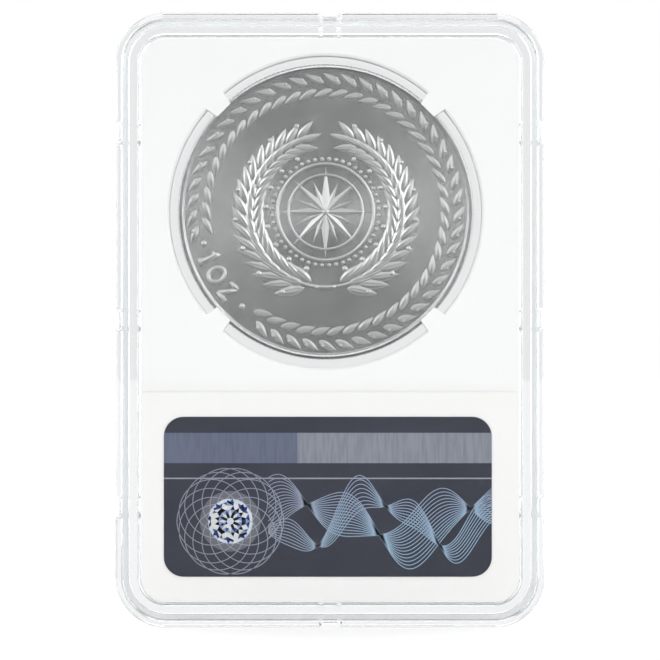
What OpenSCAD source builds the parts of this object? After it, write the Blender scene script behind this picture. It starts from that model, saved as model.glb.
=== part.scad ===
// Graded coin slab: a coin held edge-on by four prongs in a white core, with a label card on each
// face, sealed between two clear shells that are welded together round their edge.
// The case is built up round what it holds, so its outer size follows the coin, the labels and
// the walls. X is the width, Z is up, and the rear face looks towards -Y.

/* [Coin] */
// Diameter of the coin
coin_d = 40.6; // [24:0.1:50]
// Thickness of the coin at its rim
coin_t = 2.98; // [1.8:0.01:4]
// Width of the coin's raised rim
coin_rim_w = 0.9; // [0.5:0.05:1.5]
// Depth of the coin's field below its rim, on each face
coin_field_drop = 0.32; // [0.1:0.01:0.5]
// Number of reeds round the coin's edge
reed_count = 200; // [60:1:240]
// Depth of a reed
reed_depth = 0.1; // [0.04:0.01:0.2]

/* [Core] */
// Gap round the coin that leaves its edge in view
edge_view_gap = 1.1; // [0.6:0.05:2]
// Bevel at each mouth of the coin opening
opening_bevel = 0.35; // [0.1:0.05:0.6]
// Core left on each side of the coin opening, before the opening's sideways shift
side_web = 4.4; // [3.2:0.1:8]
// Sideways shift of the coin opening from the core's middle
coin_shift = -0.6; // [-1:0.1:1]
// Core left above the coin opening
top_web = 2.3; // [1.5:0.1:8]
// Core left between the coin opening and the step down to the labels
step_web = 1.5; // [0.5:0.1:6]
// Width of the sloping step down to the label pockets
step_bevel = 1.1; // [0.4:0.1:2]
// Depth of the label pocket in each face
pocket_depth = 0.5; // [0.45:0.01:0.8]
// Clearance between the core and the side walls of the case
core_gap = 0.25; // [0.1:0.05:0.5]
// Clearance between the core and each window
face_gap = 0.1; // [0.05:0.01:0.3]

/* [Prongs] */
// Width of a prong where it leaves the core
prong_root_w = 3.6; // [2:0.1:6]
// Width of a prong at its tip
prong_tip_w = 2.6; // [1.5:0.1:5]
// Length of prong that laps over the coin's rim
prong_lap = 0.6; // [0.3:0.05:0.85]
// Thickness of each lip that laps over the coin
prong_lip_t = 0.42; // [0.3:0.01:0.8]
// Clearance between the coin and its prongs
coin_gap = 0.04; // [0.02:0.01:0.1]

/* [Case] */
// Radius of the case's outer corners
corner_r = 6.9; // [5:0.1:9]
// Width of the side wall that carries the weld
wall_w = 2.95; // [2.6:0.05:4]
// Thickness of the clear windows
window_t = 1.2; // [0.8:0.05:2]
// Height of the rims above the windows
rim_h = 0.7; // [0.4:0.05:1.2]
// Width of the raised lip round the front face
front_lip_w = 0.8; // [0.6:0.05:1]
// Top width of the raised ridge round the rear face
rear_ridge_w = 2.2; // [1.5:0.05:3]
// Run of the slope from a rim down to its window
rim_slope = 0.4; // [0.2:0.05:0.8]
// Clearance between the ridge and the lip of a slab stacked on it
stack_gap = 0.05; // [0.03:0.01:0.1]
// Depth of the front land below its window
land_drop = 0.1; // [0.05:0.01:0.2]
// Chamfer on the outer edges
edge_chamfer = 0.25; // [0.1:0.01:0.4]

/* [Weld] */
// Distance from the outer face to the tongue
tongue_inset = 1.0; // [0.8:0.05:1.2]
// Width of the tongue on the rear shell
tongue_w = 0.7; // [0.5:0.05:0.9]
// Height of the tongue
tongue_h = 0.8; // [0.4:0.05:1]
// Clearance on each side of the tongue in its groove
tongue_gap = 0.1; // [0.05:0.01:0.2]
// Thickness of the fused bead between tongue and groove
bead_t = 0.15; // [0.1:0.01:0.3]
// Chamfer on each side of the visible seam
seam_chamfer = 0.15; // [0.05:0.01:0.25]

/* [Notches] */
// Width of an edge notch
notch_w = 3.4; // [2:0.1:5]
// Depth of an edge notch
notch_depth = 0.55; // [0.2:0.05:0.7]
// Spacing of the three notches on each long side
notch_pitch = 25.6; // [18:0.1:28]

/* [Labels] */
// Width of the security sticker
sticker_w = 44.9; // [30:0.1:52]
// Height of the security sticker
sticker_h = 21.9; // [14:0.1:28]
// Corner radius of the security sticker
sticker_r = 2.7; // [1:0.1:6]
// Thickness of the security sticker
sticker_t = 0.1; // [0.05:0.01:0.1]
// Sideways shift of the sticker from the middle of its card
sticker_shift = -0.3; // [-1:0.1:1]
// Card left on each side of the sticker
card_margin = 3.55; // [2:0.05:8]
// Thickness of a label card
card_t = 0.3; // [0.2:0.01:0.3]
// Clearance round a label card
card_gap = 0.15; // [0.05:0.05:0.4]
// Corner radius of a label card
card_r = 0.8; // [0.2:0.1:2]
// Diameter of the round lens on the sticker
lens_d = 6.2; // [3:0.1:8]
// Thickness of the lens
lens_t = 0.1; // [0.04:0.01:0.1]
// Distance of the lens from the sticker's left edge to its middle
lens_from_left = 9.1; // [4.5:0.1:14]
// Distance of the lens from the sticker's lower edge to its middle
lens_from_foot = 7.6; // [4.5:0.1:10]

/* [Hidden] */
$fn = 96;
spare = 1;  // how far a cut runs past what it cuts

coin_r = coin_d / 2;
opening_r = coin_r + edge_view_gap;
mouth_r = opening_r + opening_bevel;
core_t = coin_t + 2 * (coin_gap + prong_lip_t);
card_w = sticker_w + 2 * card_margin;
card_h = sticker_h + 2 * card_margin;
core_w = max(2 * (mouth_r + side_web), card_w + 2 * card_gap);
label_zone_h = card_h + 2 * card_gap;
core_h = label_zone_h + step_bevel + step_web + 2 * mouth_r + top_web;
side = wall_w + core_gap;
slab_w = core_w + 2 * side;
slab_h = core_h + 2 * side;
core_r = corner_r - side;

core_foot = side;                                    // heights above the slab's foot
step_foot = core_foot + label_zone_h;
coin_z = slab_h - side - top_web - mouth_r;
card_z = core_foot + label_zone_h / 2;

window_in = core_t / 2 + face_gap;                   // depths outward from the parting plane
window_out = window_in + window_t;
rim_top = window_out + rim_h;
front_land = window_out - land_drop;
rear_ledge_w = front_lip_w + stack_gap;
rear_ledge = front_land - stack_gap;                 // a stacked slab's lip lies over this ledge
ridge_end = rear_ledge_w + rear_ridge_w;
land_end = ridge_end + rim_slope + stack_gap;
profile_end = land_end + rim_slope;                  // the wall's profile reaches in over the window
pocket_floor = core_t / 2 - pocket_depth;
sticker_top = pocket_floor + card_t + sticker_t;

// Shapes are drawn lying flat, with their depth towards +Z, and are then stood up.
module rear_side() { translate([0, 0, slab_h / 2]) rotate([90, 0, 0]) children(); }
module front_side() { mirror([0, 1, 0]) rear_side() children(); }

// Lifts a flat shape whose middle lies at a height above the slab's foot.
module at_height(z, x = 0) { translate([x, z - slab_h / 2, 0]) children(); }

module round_rect(w, h, r) {
    square([w - 2 * r, h], center = true);
    square([w, h - 2 * r], center = true);
    for (sx = [-1, 1], sy = [-1, 1])
        translate([sx * (w / 2 - r), sy * (h / 2 - r)]) circle(r);
}

// Sweeps a profile round the slab's outline. The profile's X runs inwards from the outer face,
// and its Y runs outwards from the parting plane.
module around_edge() {
    for (i = [0 : 3]) {
        half = (i % 2 == 0 ? slab_w : slab_h) / 2;
        run = (i % 2 == 0 ? slab_h : slab_w) - 2 * corner_r;
        rotate([0, 0, 90 * i]) {
            translate([half, run / 2, 0])
                rotate([90, 0, 0]) linear_extrude(run) mirror([1, 0]) children();
            translate([half - corner_r, run / 2, 0])
                rotate_extrude(angle = 90) translate([corner_r, 0]) mirror([1, 0]) children();
        }
    }
}

// The clear window that closes a shell inside its wall.
module window() {
    translate([0, 0, window_in]) linear_extrude(window_t)
        round_rect(slab_w - 2 * wall_w, slab_h - 2 * wall_w, corner_r - wall_w);
}

// Notches in the outer face: three on each long side and one in the middle of each short side.
module notch() {
    translate([0, 0, -tongue_h - spare]) linear_extrude(rim_top + tongue_h + 2 * spare)
        polygon([[-notch_depth, -notch_w / 2 + notch_depth], [-notch_depth, notch_w / 2 - notch_depth],
                 [spare, notch_w / 2 + spare], [spare, -notch_w / 2 - spare]]);
}

module notches() {
    for (turn = [0, 180], along = [-notch_pitch, 0, notch_pitch])
        rotate([0, 0, turn]) translate([slab_w / 2, along, 0]) notch();
    for (turn = [90, 270])
        rotate([0, 0, turn]) translate([slab_h / 2, 0, 0]) notch();
}

module rear_profile() {
    polygon([
        [0, seam_chamfer], [0, rear_ledge - edge_chamfer], [edge_chamfer, rear_ledge],
        [rear_ledge_w, rear_ledge], [rear_ledge_w, rim_top - edge_chamfer],
        [rear_ledge_w + edge_chamfer, rim_top], [ridge_end, rim_top],
        [ridge_end + rim_slope, window_out], [profile_end, window_out], [profile_end, window_in],
        [wall_w, window_in], [wall_w, 0], [tongue_inset + tongue_w, 0],
        [tongue_inset + tongue_w, -tongue_h], [tongue_inset, -tongue_h], [tongue_inset, 0],
        [seam_chamfer, 0]
    ]);
}

module rear_shell() {
    color([0.95, 0.97, 0.98, 0.35]) rear_side() difference() {
        union() {
            around_edge() rear_profile();
            window();
        }
        notches();
    }
}

module front_profile() {
    groove = [tongue_inset - tongue_gap, tongue_inset + tongue_w + tongue_gap, tongue_h + bead_t];
    polygon([
        [0, seam_chamfer], [0, rim_top - edge_chamfer], [edge_chamfer, rim_top],
        [front_lip_w - edge_chamfer, rim_top], [front_lip_w, rim_top - edge_chamfer],
        [front_lip_w, front_land], [land_end, front_land], [land_end + land_drop, window_out],
        [profile_end, window_out], [profile_end, window_in], [wall_w, window_in], [wall_w, 0],
        [groove[1], 0], [groove[1], groove[2]], [groove[0], groove[2]], [groove[0], 0],
        [seam_chamfer, 0]
    ]);
}

module front_shell() {
    color([0.95, 0.97, 0.98, 0.35]) front_side() difference() {
        union() {
            around_edge() front_profile();
            window();
        }
        notches();
    }
}

// The plastic that melted and set again at the foot of the groove, under the tongue's tip.
module weld_bead() {
    color([0.9, 0.92, 0.93, 0.6]) front_side() around_edge()
        translate([tongue_inset, tongue_h]) square([tongue_w, bead_t]);
}

// A prong from the core's opening, before the coin's seat is cut out of it.
module prong() {
    linear_extrude(core_t, center = true)
        polygon([[coin_r - prong_lap, -prong_tip_w / 2], [coin_r - prong_lap, prong_tip_w / 2],
                 [mouth_r + spare, prong_root_w / 2], [mouth_r + spare, -prong_root_w / 2]]);
}

// What is taken off one face of the core so that a label card lies in it.
module label_pocket() {
    rise = core_t / 2 + spare;
    slope = step_bevel / pocket_depth;
    at_height(core_foot) rotate([90, 0, 90]) linear_extrude(core_w + 2 * spare, center = true)
        polygon([[-spare, pocket_floor], [label_zone_h, pocket_floor],
                 [label_zone_h + slope * (rise - pocket_floor), rise], [-spare, rise]]);
}

module opening() {
    cylinder(h = core_t + 2 * spare, r = opening_r, center = true);
    for (face = [-1, 1]) scale([1, 1, face])
        translate([0, 0, core_t / 2 - opening_bevel])
            cylinder(h = opening_bevel, r1 = opening_r, r2 = mouth_r);
}

module core() {
    color([0.95, 0.95, 0.94]) rear_side() difference() {
        union() {
            difference() {
                linear_extrude(core_t, center = true) round_rect(core_w, core_h, core_r);
                at_height(coin_z, coin_shift) opening();
                label_pocket();
                mirror([0, 0, 1]) label_pocket();
            }
            at_height(coin_z, coin_shift)
                for (turn = [45 : 90 : 315]) rotate([0, 0, turn]) prong();
        }
        at_height(coin_z, coin_shift)
            cylinder(h = coin_t + 2 * coin_gap, r = coin_r + coin_gap, center = true);
    }
}

// The coin's outline: a tooth and a gap for each reed.
function reeded(r, depth, count) = [
    for (i = [0 : count - 1], side = [0, 1])
        let (mid = (i + side / 2) * 360 / count, quarter = 90 / count,
             radius = r - side * depth)
        for (edge = [-0.6, 0.6]) radius * [cos(mid + edge * quarter), sin(mid + edge * quarter)]
];

module coin() {
    color([0.78, 0.78, 0.8]) rear_side() at_height(coin_z, coin_shift) difference() {
        linear_extrude(coin_t, center = true) polygon(reeded(coin_r, reed_depth, reed_count));
        for (face = [-1, 1]) scale([1, 1, face])
            translate([0, 0, coin_t / 2 - coin_field_drop])
                cylinder(h = coin_field_drop + spare, r = coin_r - coin_rim_w);
    }
}

// A label card, cut back at its lower corners to lie inside the core's rounded ones.
module card() {
    translate([0, 0, pocket_floor]) intersection() {
        at_height(card_z) linear_extrude(card_t) round_rect(card_w, card_h, card_r);
        linear_extrude(card_t)
            round_rect(core_w - 2 * card_gap, core_h - 2 * card_gap, core_r - card_gap);
    }
}

module front_card() { color([0.96, 0.95, 0.92]) front_side() card(); }
module rear_card() { color([0.97, 0.97, 0.95]) rear_side() card(); }

module security_sticker() {
    color([0.16, 0.17, 0.22]) rear_side() at_height(card_z, sticker_shift)
        translate([0, 0, pocket_floor + card_t]) linear_extrude(sticker_t)
            round_rect(sticker_w, sticker_h, sticker_r);
}

module sticker_lens() {
    color([0.6, 0.7, 0.95]) rear_side()
        at_height(card_z - sticker_h / 2 + lens_from_foot,
                  sticker_shift - sticker_w / 2 + lens_from_left)
            translate([0, 0, sticker_top]) cylinder(h = lens_t, r = lens_d / 2);
}

rear_shell();
front_shell();
weld_bead();
core();
coin();
front_card();
rear_card();
security_sticker();
sticker_lens();
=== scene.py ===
"""A graded coin slab: a silver coin and a dark security sticker in a white core between clear shells."""

import math
import random

import bmesh
import bpy
from bpy.props import FloatProperty, FloatVectorProperty, IntProperty, PointerProperty
from mathutils import Matrix, Vector


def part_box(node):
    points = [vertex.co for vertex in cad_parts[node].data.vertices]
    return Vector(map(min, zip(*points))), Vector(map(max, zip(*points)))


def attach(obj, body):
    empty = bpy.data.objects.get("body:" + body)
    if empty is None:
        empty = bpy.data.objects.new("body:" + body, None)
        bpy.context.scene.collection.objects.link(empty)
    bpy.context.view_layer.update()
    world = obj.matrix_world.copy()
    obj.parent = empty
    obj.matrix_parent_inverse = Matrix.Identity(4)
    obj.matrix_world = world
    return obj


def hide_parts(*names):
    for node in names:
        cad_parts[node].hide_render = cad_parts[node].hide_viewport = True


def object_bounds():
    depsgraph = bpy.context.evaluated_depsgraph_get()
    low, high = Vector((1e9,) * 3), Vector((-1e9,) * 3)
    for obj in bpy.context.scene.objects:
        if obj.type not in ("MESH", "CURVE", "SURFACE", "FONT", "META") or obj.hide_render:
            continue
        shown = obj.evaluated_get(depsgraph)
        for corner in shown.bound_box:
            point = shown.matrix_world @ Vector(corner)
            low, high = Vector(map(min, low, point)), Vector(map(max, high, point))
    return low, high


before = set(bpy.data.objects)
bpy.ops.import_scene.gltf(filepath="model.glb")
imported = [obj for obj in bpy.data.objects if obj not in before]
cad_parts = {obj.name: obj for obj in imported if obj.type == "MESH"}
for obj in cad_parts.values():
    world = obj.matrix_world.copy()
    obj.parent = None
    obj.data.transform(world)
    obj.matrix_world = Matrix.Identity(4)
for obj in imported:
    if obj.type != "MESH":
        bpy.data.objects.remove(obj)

bl_info = {
    "name": "Graded Coin Slab",
    "version": (1, 0, 0),
    "blender": (4, 5, 0),
    "location": "View3D > Sidebar > Coin Slab",
    "description": "Builds a sealed coin slab with its coin, labels and studio stage",
    "category": "Add Mesh",
}

BODY = "root"
REAR, FRONT = -1, 1
MM = 0.001
CAD_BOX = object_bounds()
COIN_LOW, COIN_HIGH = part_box("coin")
COIN_MIDDLE = (COIN_LOW + COIN_HIGH) / 2
STICKER_LOW, STICKER_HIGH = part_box("security_sticker")
LENS_LOW, LENS_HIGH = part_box("sticker_lens")


def length(name, description, millimetres):
    """A size in metres that a user can change, given here in millimetres."""
    return FloatProperty(name=name, description=description, default=millimetres * MM,
                         min=0.0, precision=5, unit="LENGTH", subtype="DISTANCE")


def turn(name, description, degrees):
    return FloatProperty(name=name, description=description, default=math.radians(degrees),
                         unit="ROTATION", subtype="ANGLE")


def share(name, description, default, most=1.0):
    return FloatProperty(name=name, description=description, default=default, min=0.0, max=most)


def tint(name, description, colour):
    return FloatVectorProperty(name=name, description=description, default=colour,
                               size=3, min=0.0, max=1.0, subtype="COLOR")


# ---------------------------------------------------------------- settings


class SlabCaseSettings(bpy.types.PropertyGroup):
    """Sizes and finish of the two clear shells, the weld and the core."""

    corner: length("Corner Radius", "Radius of the case's outer corners", 6.9)
    wall: length("Wall", "Width of the side wall", 2.95)
    window: length("Window", "Thickness of each clear window", 1.2)
    rim: length("Rim Height", "Height of the rims above the windows", 0.7)
    lip: length("Front Lip", "Width of the lip round the front face", 0.8)
    ledge: length("Rear Ledge", "Width of the ledge outside the rear ridge", 0.85)
    ridge: length("Rear Ridge", "Width of the ridge round the rear face", 2.2)
    slope: length("Rim Slope", "Run of the slope from a rim to its window", 0.4)
    land: length("Land Drop", "Depth of the front land and rear ledge below the windows", 0.1)
    tongue_inset: length("Tongue Inset", "Distance from the outer face to the tongue", 1.0)
    tongue_width: length("Tongue Width", "Width of the tongue", 0.7)
    tongue_gap: length("Tongue Gap", "Clearance beside the tongue", 0.1)
    fillet: length("Fillet", "Radius of the moulded edges", 0.2)
    hairline: length("Hairline", "Gap that keeps two clear faces from lying in one plane", 0.012)
    notch_width: length("Notch Width", "Width of an edge notch", 3.4)
    notch_depth: length("Notch Depth", "Depth of an edge notch", 0.55)
    notch_pitch: length("Notch Pitch", "Spacing of the notches on the long sides", 25.6)
    core_edge: length("Core Edge", "Rounding of the white core's edges", 0.12)
    clear: tint("Clear Plastic", "Tint of the clear shells", (0.985, 0.992, 0.995))
    white: tint("Core White", "Colour of the white core", (0.9, 0.9, 0.895))
    card: tint("Card White", "Colour of the label cards", (0.89, 0.885, 0.87))
    cloudy: tint("Weld", "Colour of the fused plastic", (0.9, 0.92, 0.93))


class SlabCoinSettings(bpy.types.PropertyGroup):
    """Sizes and finish of the silver coin."""

    rim: length("Rim Width", "Width of the coin's raised rim", 0.85)
    drop: length("Field Drop", "Depth of the field below the rim", 0.32)
    dish: length("Dish", "How far the field sinks towards its middle", 0.2)
    relief: length("Relief", "Height of the design above the field", 0.28)
    reed: length("Reed Depth", "Depth of the reeds", 0.1)
    reeds: IntProperty(name="Reeds", description="Number of reeds", default=200, min=60, max=240)
    wreath: length("Wreath Radius", "Radius of the two branches' stems", 10.3)
    leaf: length("Leaf Length", "Length of a wreath leaf", 4.3)
    border: length("Border Radius", "Radius of the leafy border", 17.25)
    border_leaf: length("Border Leaf", "Length of a border leaf", 2.8)
    letter: length("Letter Height", "Height of the weight mark's letters", 2.6)
    silver: tint("Silver", "Colour of the silver", (0.72, 0.72, 0.72))
    roughness: share("Roughness", "Roughness of the struck field", 0.25)
    lustre: share("Lustre", "Strength of the radial flow lines", 0.7, 4.0)


class SlabLabelSettings(bpy.types.PropertyGroup):
    """Sizes and colours of the security sticker, its printed lines and its lens."""

    band_top: length("Band Top", "Distance from the sticker's top to the bands", 2.2)
    band_foot: length("Band Foot", "Distance from the sticker's top to the bands' foot", 6.35)
    band_split: length("Band Split", "Distance from the left edge to where the bands meet", 18.3)
    rule_drop: length("Rule Drop", "Distance from the sticker's top to the thin rule", 8.35)
    ring: length("Ring Radius", "Radius of the grey ring round the lens", 4.15)
    line: length("Line Width", "Width of the printed fine lines", 0.11)
    print: length("Print Height", "Height of the printed lines above the foil", 0.006)
    ground: tint("Ground", "Colour of the dark foil", (0.036, 0.040, 0.058))
    left_band: tint("Left Band", "Colour of the blue-violet band", (0.165, 0.19, 0.275))
    right_band: tint("Right Band", "Colour of the grey band", (0.31, 0.33, 0.385))
    ring_tone: tint("Ring", "Colour of the ring round the lens", (0.15, 0.155, 0.18))
    lines: tint("Lines", "Colour of the fine lines", (0.33, 0.35, 0.42))
    bright_lines: tint("Bright Lines", "Colour of the iridescent fine lines", (0.36, 0.52, 0.68))


class SlabStageSettings(bpy.types.PropertyGroup):
    """The camera, the lamps and the pale surroundings."""

    distance: length("Camera Distance", "Distance from the camera to the slab", 620.0)
    field: length("Field Of View", "Width seen at the slab's distance", 90.7)
    drop: length("Aim Drop", "How far below the slab's middle the camera looks", 1.37)
    white: share("Surroundings", "Brightness of the room at the sides", 0.95, 4.0)
    dim: share("Camera Side", "Brightness of the room behind the camera", 0.13, 4.0)
    beyond: share("Beyond The Windows", "Brightness of the white seen through the clear case", 0.97)
    table: length("Table Edge", "Distance from the slab to the front edge of the floor", 250.0)
    key: FloatProperty(name="Key Power", description="Power of each large side lamp in watts",
                       default=2.0, min=0.0)
    top: FloatProperty(name="Top Power", description="Power of each overhead lamp in watts",
                       default=0.36, min=0.0)
    below: share("Below", "Brightness of the room below, as a share of that above", 0.45)


# ---------------------------------------------------------------- node sums


class Term:
    """A socket of a node tree, which can be used in sums; each sum adds its Math node."""

    def __init__(self, tree, socket):
        self.tree = tree
        self.socket = socket

    def math(self, operation, *others, clamp=False):
        settings = {"operation": operation, "use_clamp": clamp}
        values = dict(enumerate((self, *others)))
        return make(self.tree, "ShaderNodeMath", settings, values)

    def __add__(self, other):
        return self.math("ADD", other)

    __radd__ = __add__

    def __sub__(self, other):
        return self.math("SUBTRACT", other)

    def __rsub__(self, other):
        return self.math("MULTIPLY_ADD", -1.0, other)

    def __mul__(self, other):
        return self.math("MULTIPLY", other)

    __rmul__ = __mul__

    def __truediv__(self, other):
        return self.math("DIVIDE", other)

    def __rtruediv__(self, other):
        return self.math("POWER", -1.0) * other

    def output(self, name):
        """Another output of the node that this socket belongs to."""
        return Term(self.tree, self.socket.node.outputs[name])

    def band(self, low, high):
        """One between two values, and nothing outside them."""
        return self.math("GREATER_THAN", low) * self.math("LESS_THAN", high)

    def ramp(self, low, high):
        """A smooth rise from nothing at one value to one at the other."""
        settings = {"interpolation_type": "SMOOTHSTEP"}
        sockets = {"Value": self, "From Min": low, "From Max": high}
        return make(self.tree, "ShaderNodeMapRange", settings, sockets)


def make(tree, kind, settings=None, sockets=None, output=0):
    """Adds a node: its settings first, then the values or links of its sockets."""
    node = tree.nodes.new(kind)
    for name, value in (settings or {}).items():
        setattr(node, name, value)
    for key, value in (sockets or {}).items():
        if isinstance(value, Term):
            tree.links.new(value.socket, node.inputs[key])
        elif node.inputs[key].type == "RGBA" and len(value) == 3:
            node.inputs[key].default_value = (*value, 1.0)
        else:
            node.inputs[key].default_value = value
    return Term(tree, node.outputs[output]) if node.outputs else node


def blend_colours(tree, factor, first, second):
    """The Mix node's sockets for a colour are 6 and 7, and its colour output is 2."""
    return make(tree, "ShaderNodeMix", {"data_type": "RGBA"},
                {0: factor, 6: first, 7: second}, output=2)


def noise(tree, place, scale, detail=2.0):
    sockets = {"Vector": place, "Scale": scale, "Detail": detail}
    return make(tree, "ShaderNodeTexNoise", None, sockets, "Fac")


def object_place(tree):
    return make(tree, "ShaderNodeTexCoord", output="Object")


def vector_sum(tree, operation, *values):
    return make(tree, "ShaderNodeVectorMath", {"operation": operation}, dict(enumerate(values)))


def axes(tree, place, centre=(0.0, 0.0, 0.0)):
    """The three coordinates of a place, counted from a centre."""
    moved = vector_sum(tree, "SUBTRACT", place, centre)
    first = make(tree, "ShaderNodeSeparateXYZ", None, {0: moved}, "X")
    return first, first.output("Y"), first.output("Z")


def bump(tree, height, distance, strength=1.0):
    return make(tree, "ShaderNodeBump", None,
                {"Height": height, "Distance": distance, "Strength": strength})


def new_material(name):
    """An empty material and its node tree."""
    material = bpy.data.materials.new(name)
    material.use_nodes = True
    material.node_tree.nodes.clear()
    return material, material.node_tree


def principled(tree, **sockets):
    """A Principled shader; its sockets are named with spaces as underscores."""
    return make(tree, "ShaderNodeBsdfPrincipled", None,
                {name.replace("_", " "): value for name, value in sockets.items()})


def finish_material(tree, shader):
    make(tree, "ShaderNodeOutputMaterial", None, {"Surface": shader})


# ---------------------------------------------------------------- materials


def clear_plastic(colour):
    """Polished polystyrene that lets the lamps light what is behind it.

    Light that the walls have trapped between their faces is let out after a few turns.
    """
    material, tree = new_material("clear_polystyrene")
    place = object_place(tree)
    scuffs = noise(tree, place, 260.0, 4.0).ramp(0.62, 0.8)
    ripple = noise(tree, place, 45.0, 1.0)
    glass = principled(tree, Base_Color=colour, Roughness=scuffs * 0.03 + 0.01, IOR=1.52,
                       Transmission_Weight=1.0, Normal=bump(tree, ripple, 0.00001))
    path = make(tree, "ShaderNodeLightPath", output="Is Shadow Ray")
    trapped = path.output("Glossy Depth").math("GREATER_THAN", 2.5)
    open_rays = path.math("MAXIMUM", path.output("Is Diffuse Ray")).math("MAXIMUM", trapped)
    air = make(tree, "ShaderNodeBsdfTransparent", None, {"Color": (0.995, 0.997, 0.997)})
    finish_material(tree, make(tree, "ShaderNodeMixShader", None, {0: open_rays, 1: glass, 2: air}))
    return material


def moulded_white(colour):
    """The core's white plastic, with the faint grain of its mould."""
    material, tree = new_material("white_core_plastic")
    place = object_place(tree)
    grain = noise(tree, place, 2600.0, 3.0)
    cloud = noise(tree, place, 120.0)
    tone = blend_colours(tree, cloud, [c * 0.985 for c in colour], colour)
    finish_material(tree, principled(tree, Base_Color=tone, Roughness=cloud * 0.12 + 0.36,
                                     Normal=bump(tree, grain, 0.00001, 0.6)))
    return material


def paper_card(colour, top):
    """Coated card with a trace of paper fibre, and a painted shadow line along its upper edge."""
    material, tree = new_material("label_card")
    place = object_place(tree)
    fibre = noise(tree, place, 1400.0, 6.0)
    flecked = blend_colours(tree, fibre, [c * 0.97 for c in colour], colour)
    _, _, height = axes(tree, place)
    # Painted shadow: a thin strip just below the card's top edge is darkened to 0.9 of the card's colour.
    cut = height.ramp(top - 0.00035, top - 0.00015)
    tone = blend_colours(tree, cut, flecked, [c * 0.9 for c in colour])
    finish_material(tree, principled(tree, Base_Color=tone, Roughness=fibre * 0.2 + 0.5,
                                     Normal=bump(tree, fibre, 0.00001, 0.7)))
    return material


def fused_plastic(colour):
    """The cloudy bead left by the weld."""
    material, tree = new_material("fused_polystyrene")
    place = object_place(tree)
    bubbles = noise(tree, place, 1900.0, 3.0)
    finish_material(tree, principled(tree, Base_Color=colour, Roughness=bubbles * 0.4 + 0.25,
                                     Transmission_Weight=0.75, IOR=1.52,
                                     Normal=bump(tree, bubbles, 0.00003)))
    return material


def struck_silver(name, settings, lustre, roughness):
    """Silver with fine flow lines that run out from the coin's middle, as a die leaves them.

    Each line tips the surface to one side or the other, so that lamps draw soft fans on the field.
    """
    material, tree = new_material(name)
    place = object_place(tree)
    across, _, up = axes(tree, place, COIN_MIDDLE)
    radius = (across * across + up * up).math("SQRT")
    angle = up.math("ARCTAN2", across)
    lines = make(tree, "ShaderNodeCombineXYZ", None, {0: angle * 500.0, 1: radius * 9000.0})
    tip = (noise(tree, lines, 1.0, 0.0) - 0.5) * lustre
    sideways = make(tree, "ShaderNodeCombineXYZ", None,
                    {0: -1.0 * up / radius * tip, 2: across / radius * tip})
    surface = make(tree, "ShaderNodeNewGeometry", output="Normal")
    tipped = vector_sum(tree, "NORMALIZE", vector_sum(tree, "ADD", surface, sideways))
    wear = noise(tree, place, 330.0, 3.0)
    nicks = noise(tree, place, 1500.0, 3.0).ramp(0.66, 0.8)
    colour = blend_colours(tree, wear, [c * 0.93 for c in settings.silver], settings.silver)
    normal = make(tree, "ShaderNodeBump", None,
                  {"Height": nicks, "Distance": 0.00001, "Strength": 0.4, "Normal": tipped})
    finish_material(tree, principled(tree, Base_Color=colour, Metallic=1.0, Normal=normal,
                                     Roughness=wear * 0.08 + (roughness - 0.04)))
    return material


def security_foil(settings):
    """Dark foil printed with two bands and a thin rule."""
    material, tree = new_material("security_foil")
    place = object_place(tree)
    corner = (STICKER_LOW.x, 0.0, STICKER_HIGH.z)
    across, _, up = axes(tree, place, corner)
    down = up * -1.0
    band = down.band(settings.band_top, settings.band_foot)
    left = across.math("LESS_THAN", settings.band_split)
    rule = down.band(settings.rule_drop, settings.rule_drop + 0.00017)
    brushed = vector_sum(tree, "MULTIPLY", place, (1.0, 1.0, 0.1))
    streaks = noise(tree, brushed, 2600.0, 2.0)
    cloud = noise(tree, place, 95.0, 2.0)
    ground = blend_colours(tree, cloud, [c * 0.8 for c in settings.ground],
                           [c * 1.25 for c in settings.ground])
    bands = blend_colours(tree, left, settings.right_band, settings.left_band)
    bands = blend_colours(tree, streaks.ramp(0.35, 0.75) * 0.3, bands, (0.07, 0.08, 0.12))
    colour = blend_colours(tree, band, ground, bands)
    colour = blend_colours(tree, rule, colour, settings.lines)
    lens = (LENS_LOW + LENS_HIGH) / 2
    beside, _, above = axes(tree, place, lens)
    reach = (beside * beside + above * above).math("SQRT")
    ring = reach.math("LESS_THAN", settings.ring)
    colour = blend_colours(tree, ring, colour, settings.ring_tone)
    finish_material(tree, principled(tree, Base_Color=colour, Roughness=cloud * 0.12 + 0.3,
                                     Metallic=band * 0.25 + 0.1))
    return material


def iridescent_print(settings):
    """Pale foil lines that turn from violet-grey to sea blue along the sticker."""
    material, tree = new_material("iridescent_print")
    place = object_place(tree)
    across, _, up = axes(tree, place, (STICKER_LOW.x, 0.0, STICKER_LOW.z))
    drift = noise(tree, place, 150.0, 2.0)
    fade = (across + drift * 0.012).ramp(0.014, 0.036)
    colour = blend_colours(tree, fade, settings.lines, settings.bright_lines)
    glow = (up + drift * 0.01).ramp(0.008, 0.022)
    colour = blend_colours(tree, glow * 0.5, colour, (0.3, 0.28, 0.42))
    finish_material(tree, principled(tree, Base_Color=colour, Roughness=drift * 0.2 + 0.3,
                                     Metallic=drift * 0.2 + 0.2))
    return material


def foil_with_painted_glints():
    """Each facet of the lens takes its colour from an attribute of the mesh: a blue foil tint, a painted
    glint or a painted dark reflection.
    """
    material, tree = new_material("foil_with_painted_glints")
    tone = make(tree, "ShaderNodeVertexColor", {"layer_name": "facet_tint_and_glint"}, output="Color")
    place = object_place(tree)
    sparkle = noise(tree, place, 2400.0, 2.0)
    finish_material(tree, principled(tree, Base_Color=tone, Metallic=sparkle * 0.2 + 0.25,
                                     Roughness=sparkle * 0.15 + 0.12))
    return material


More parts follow.
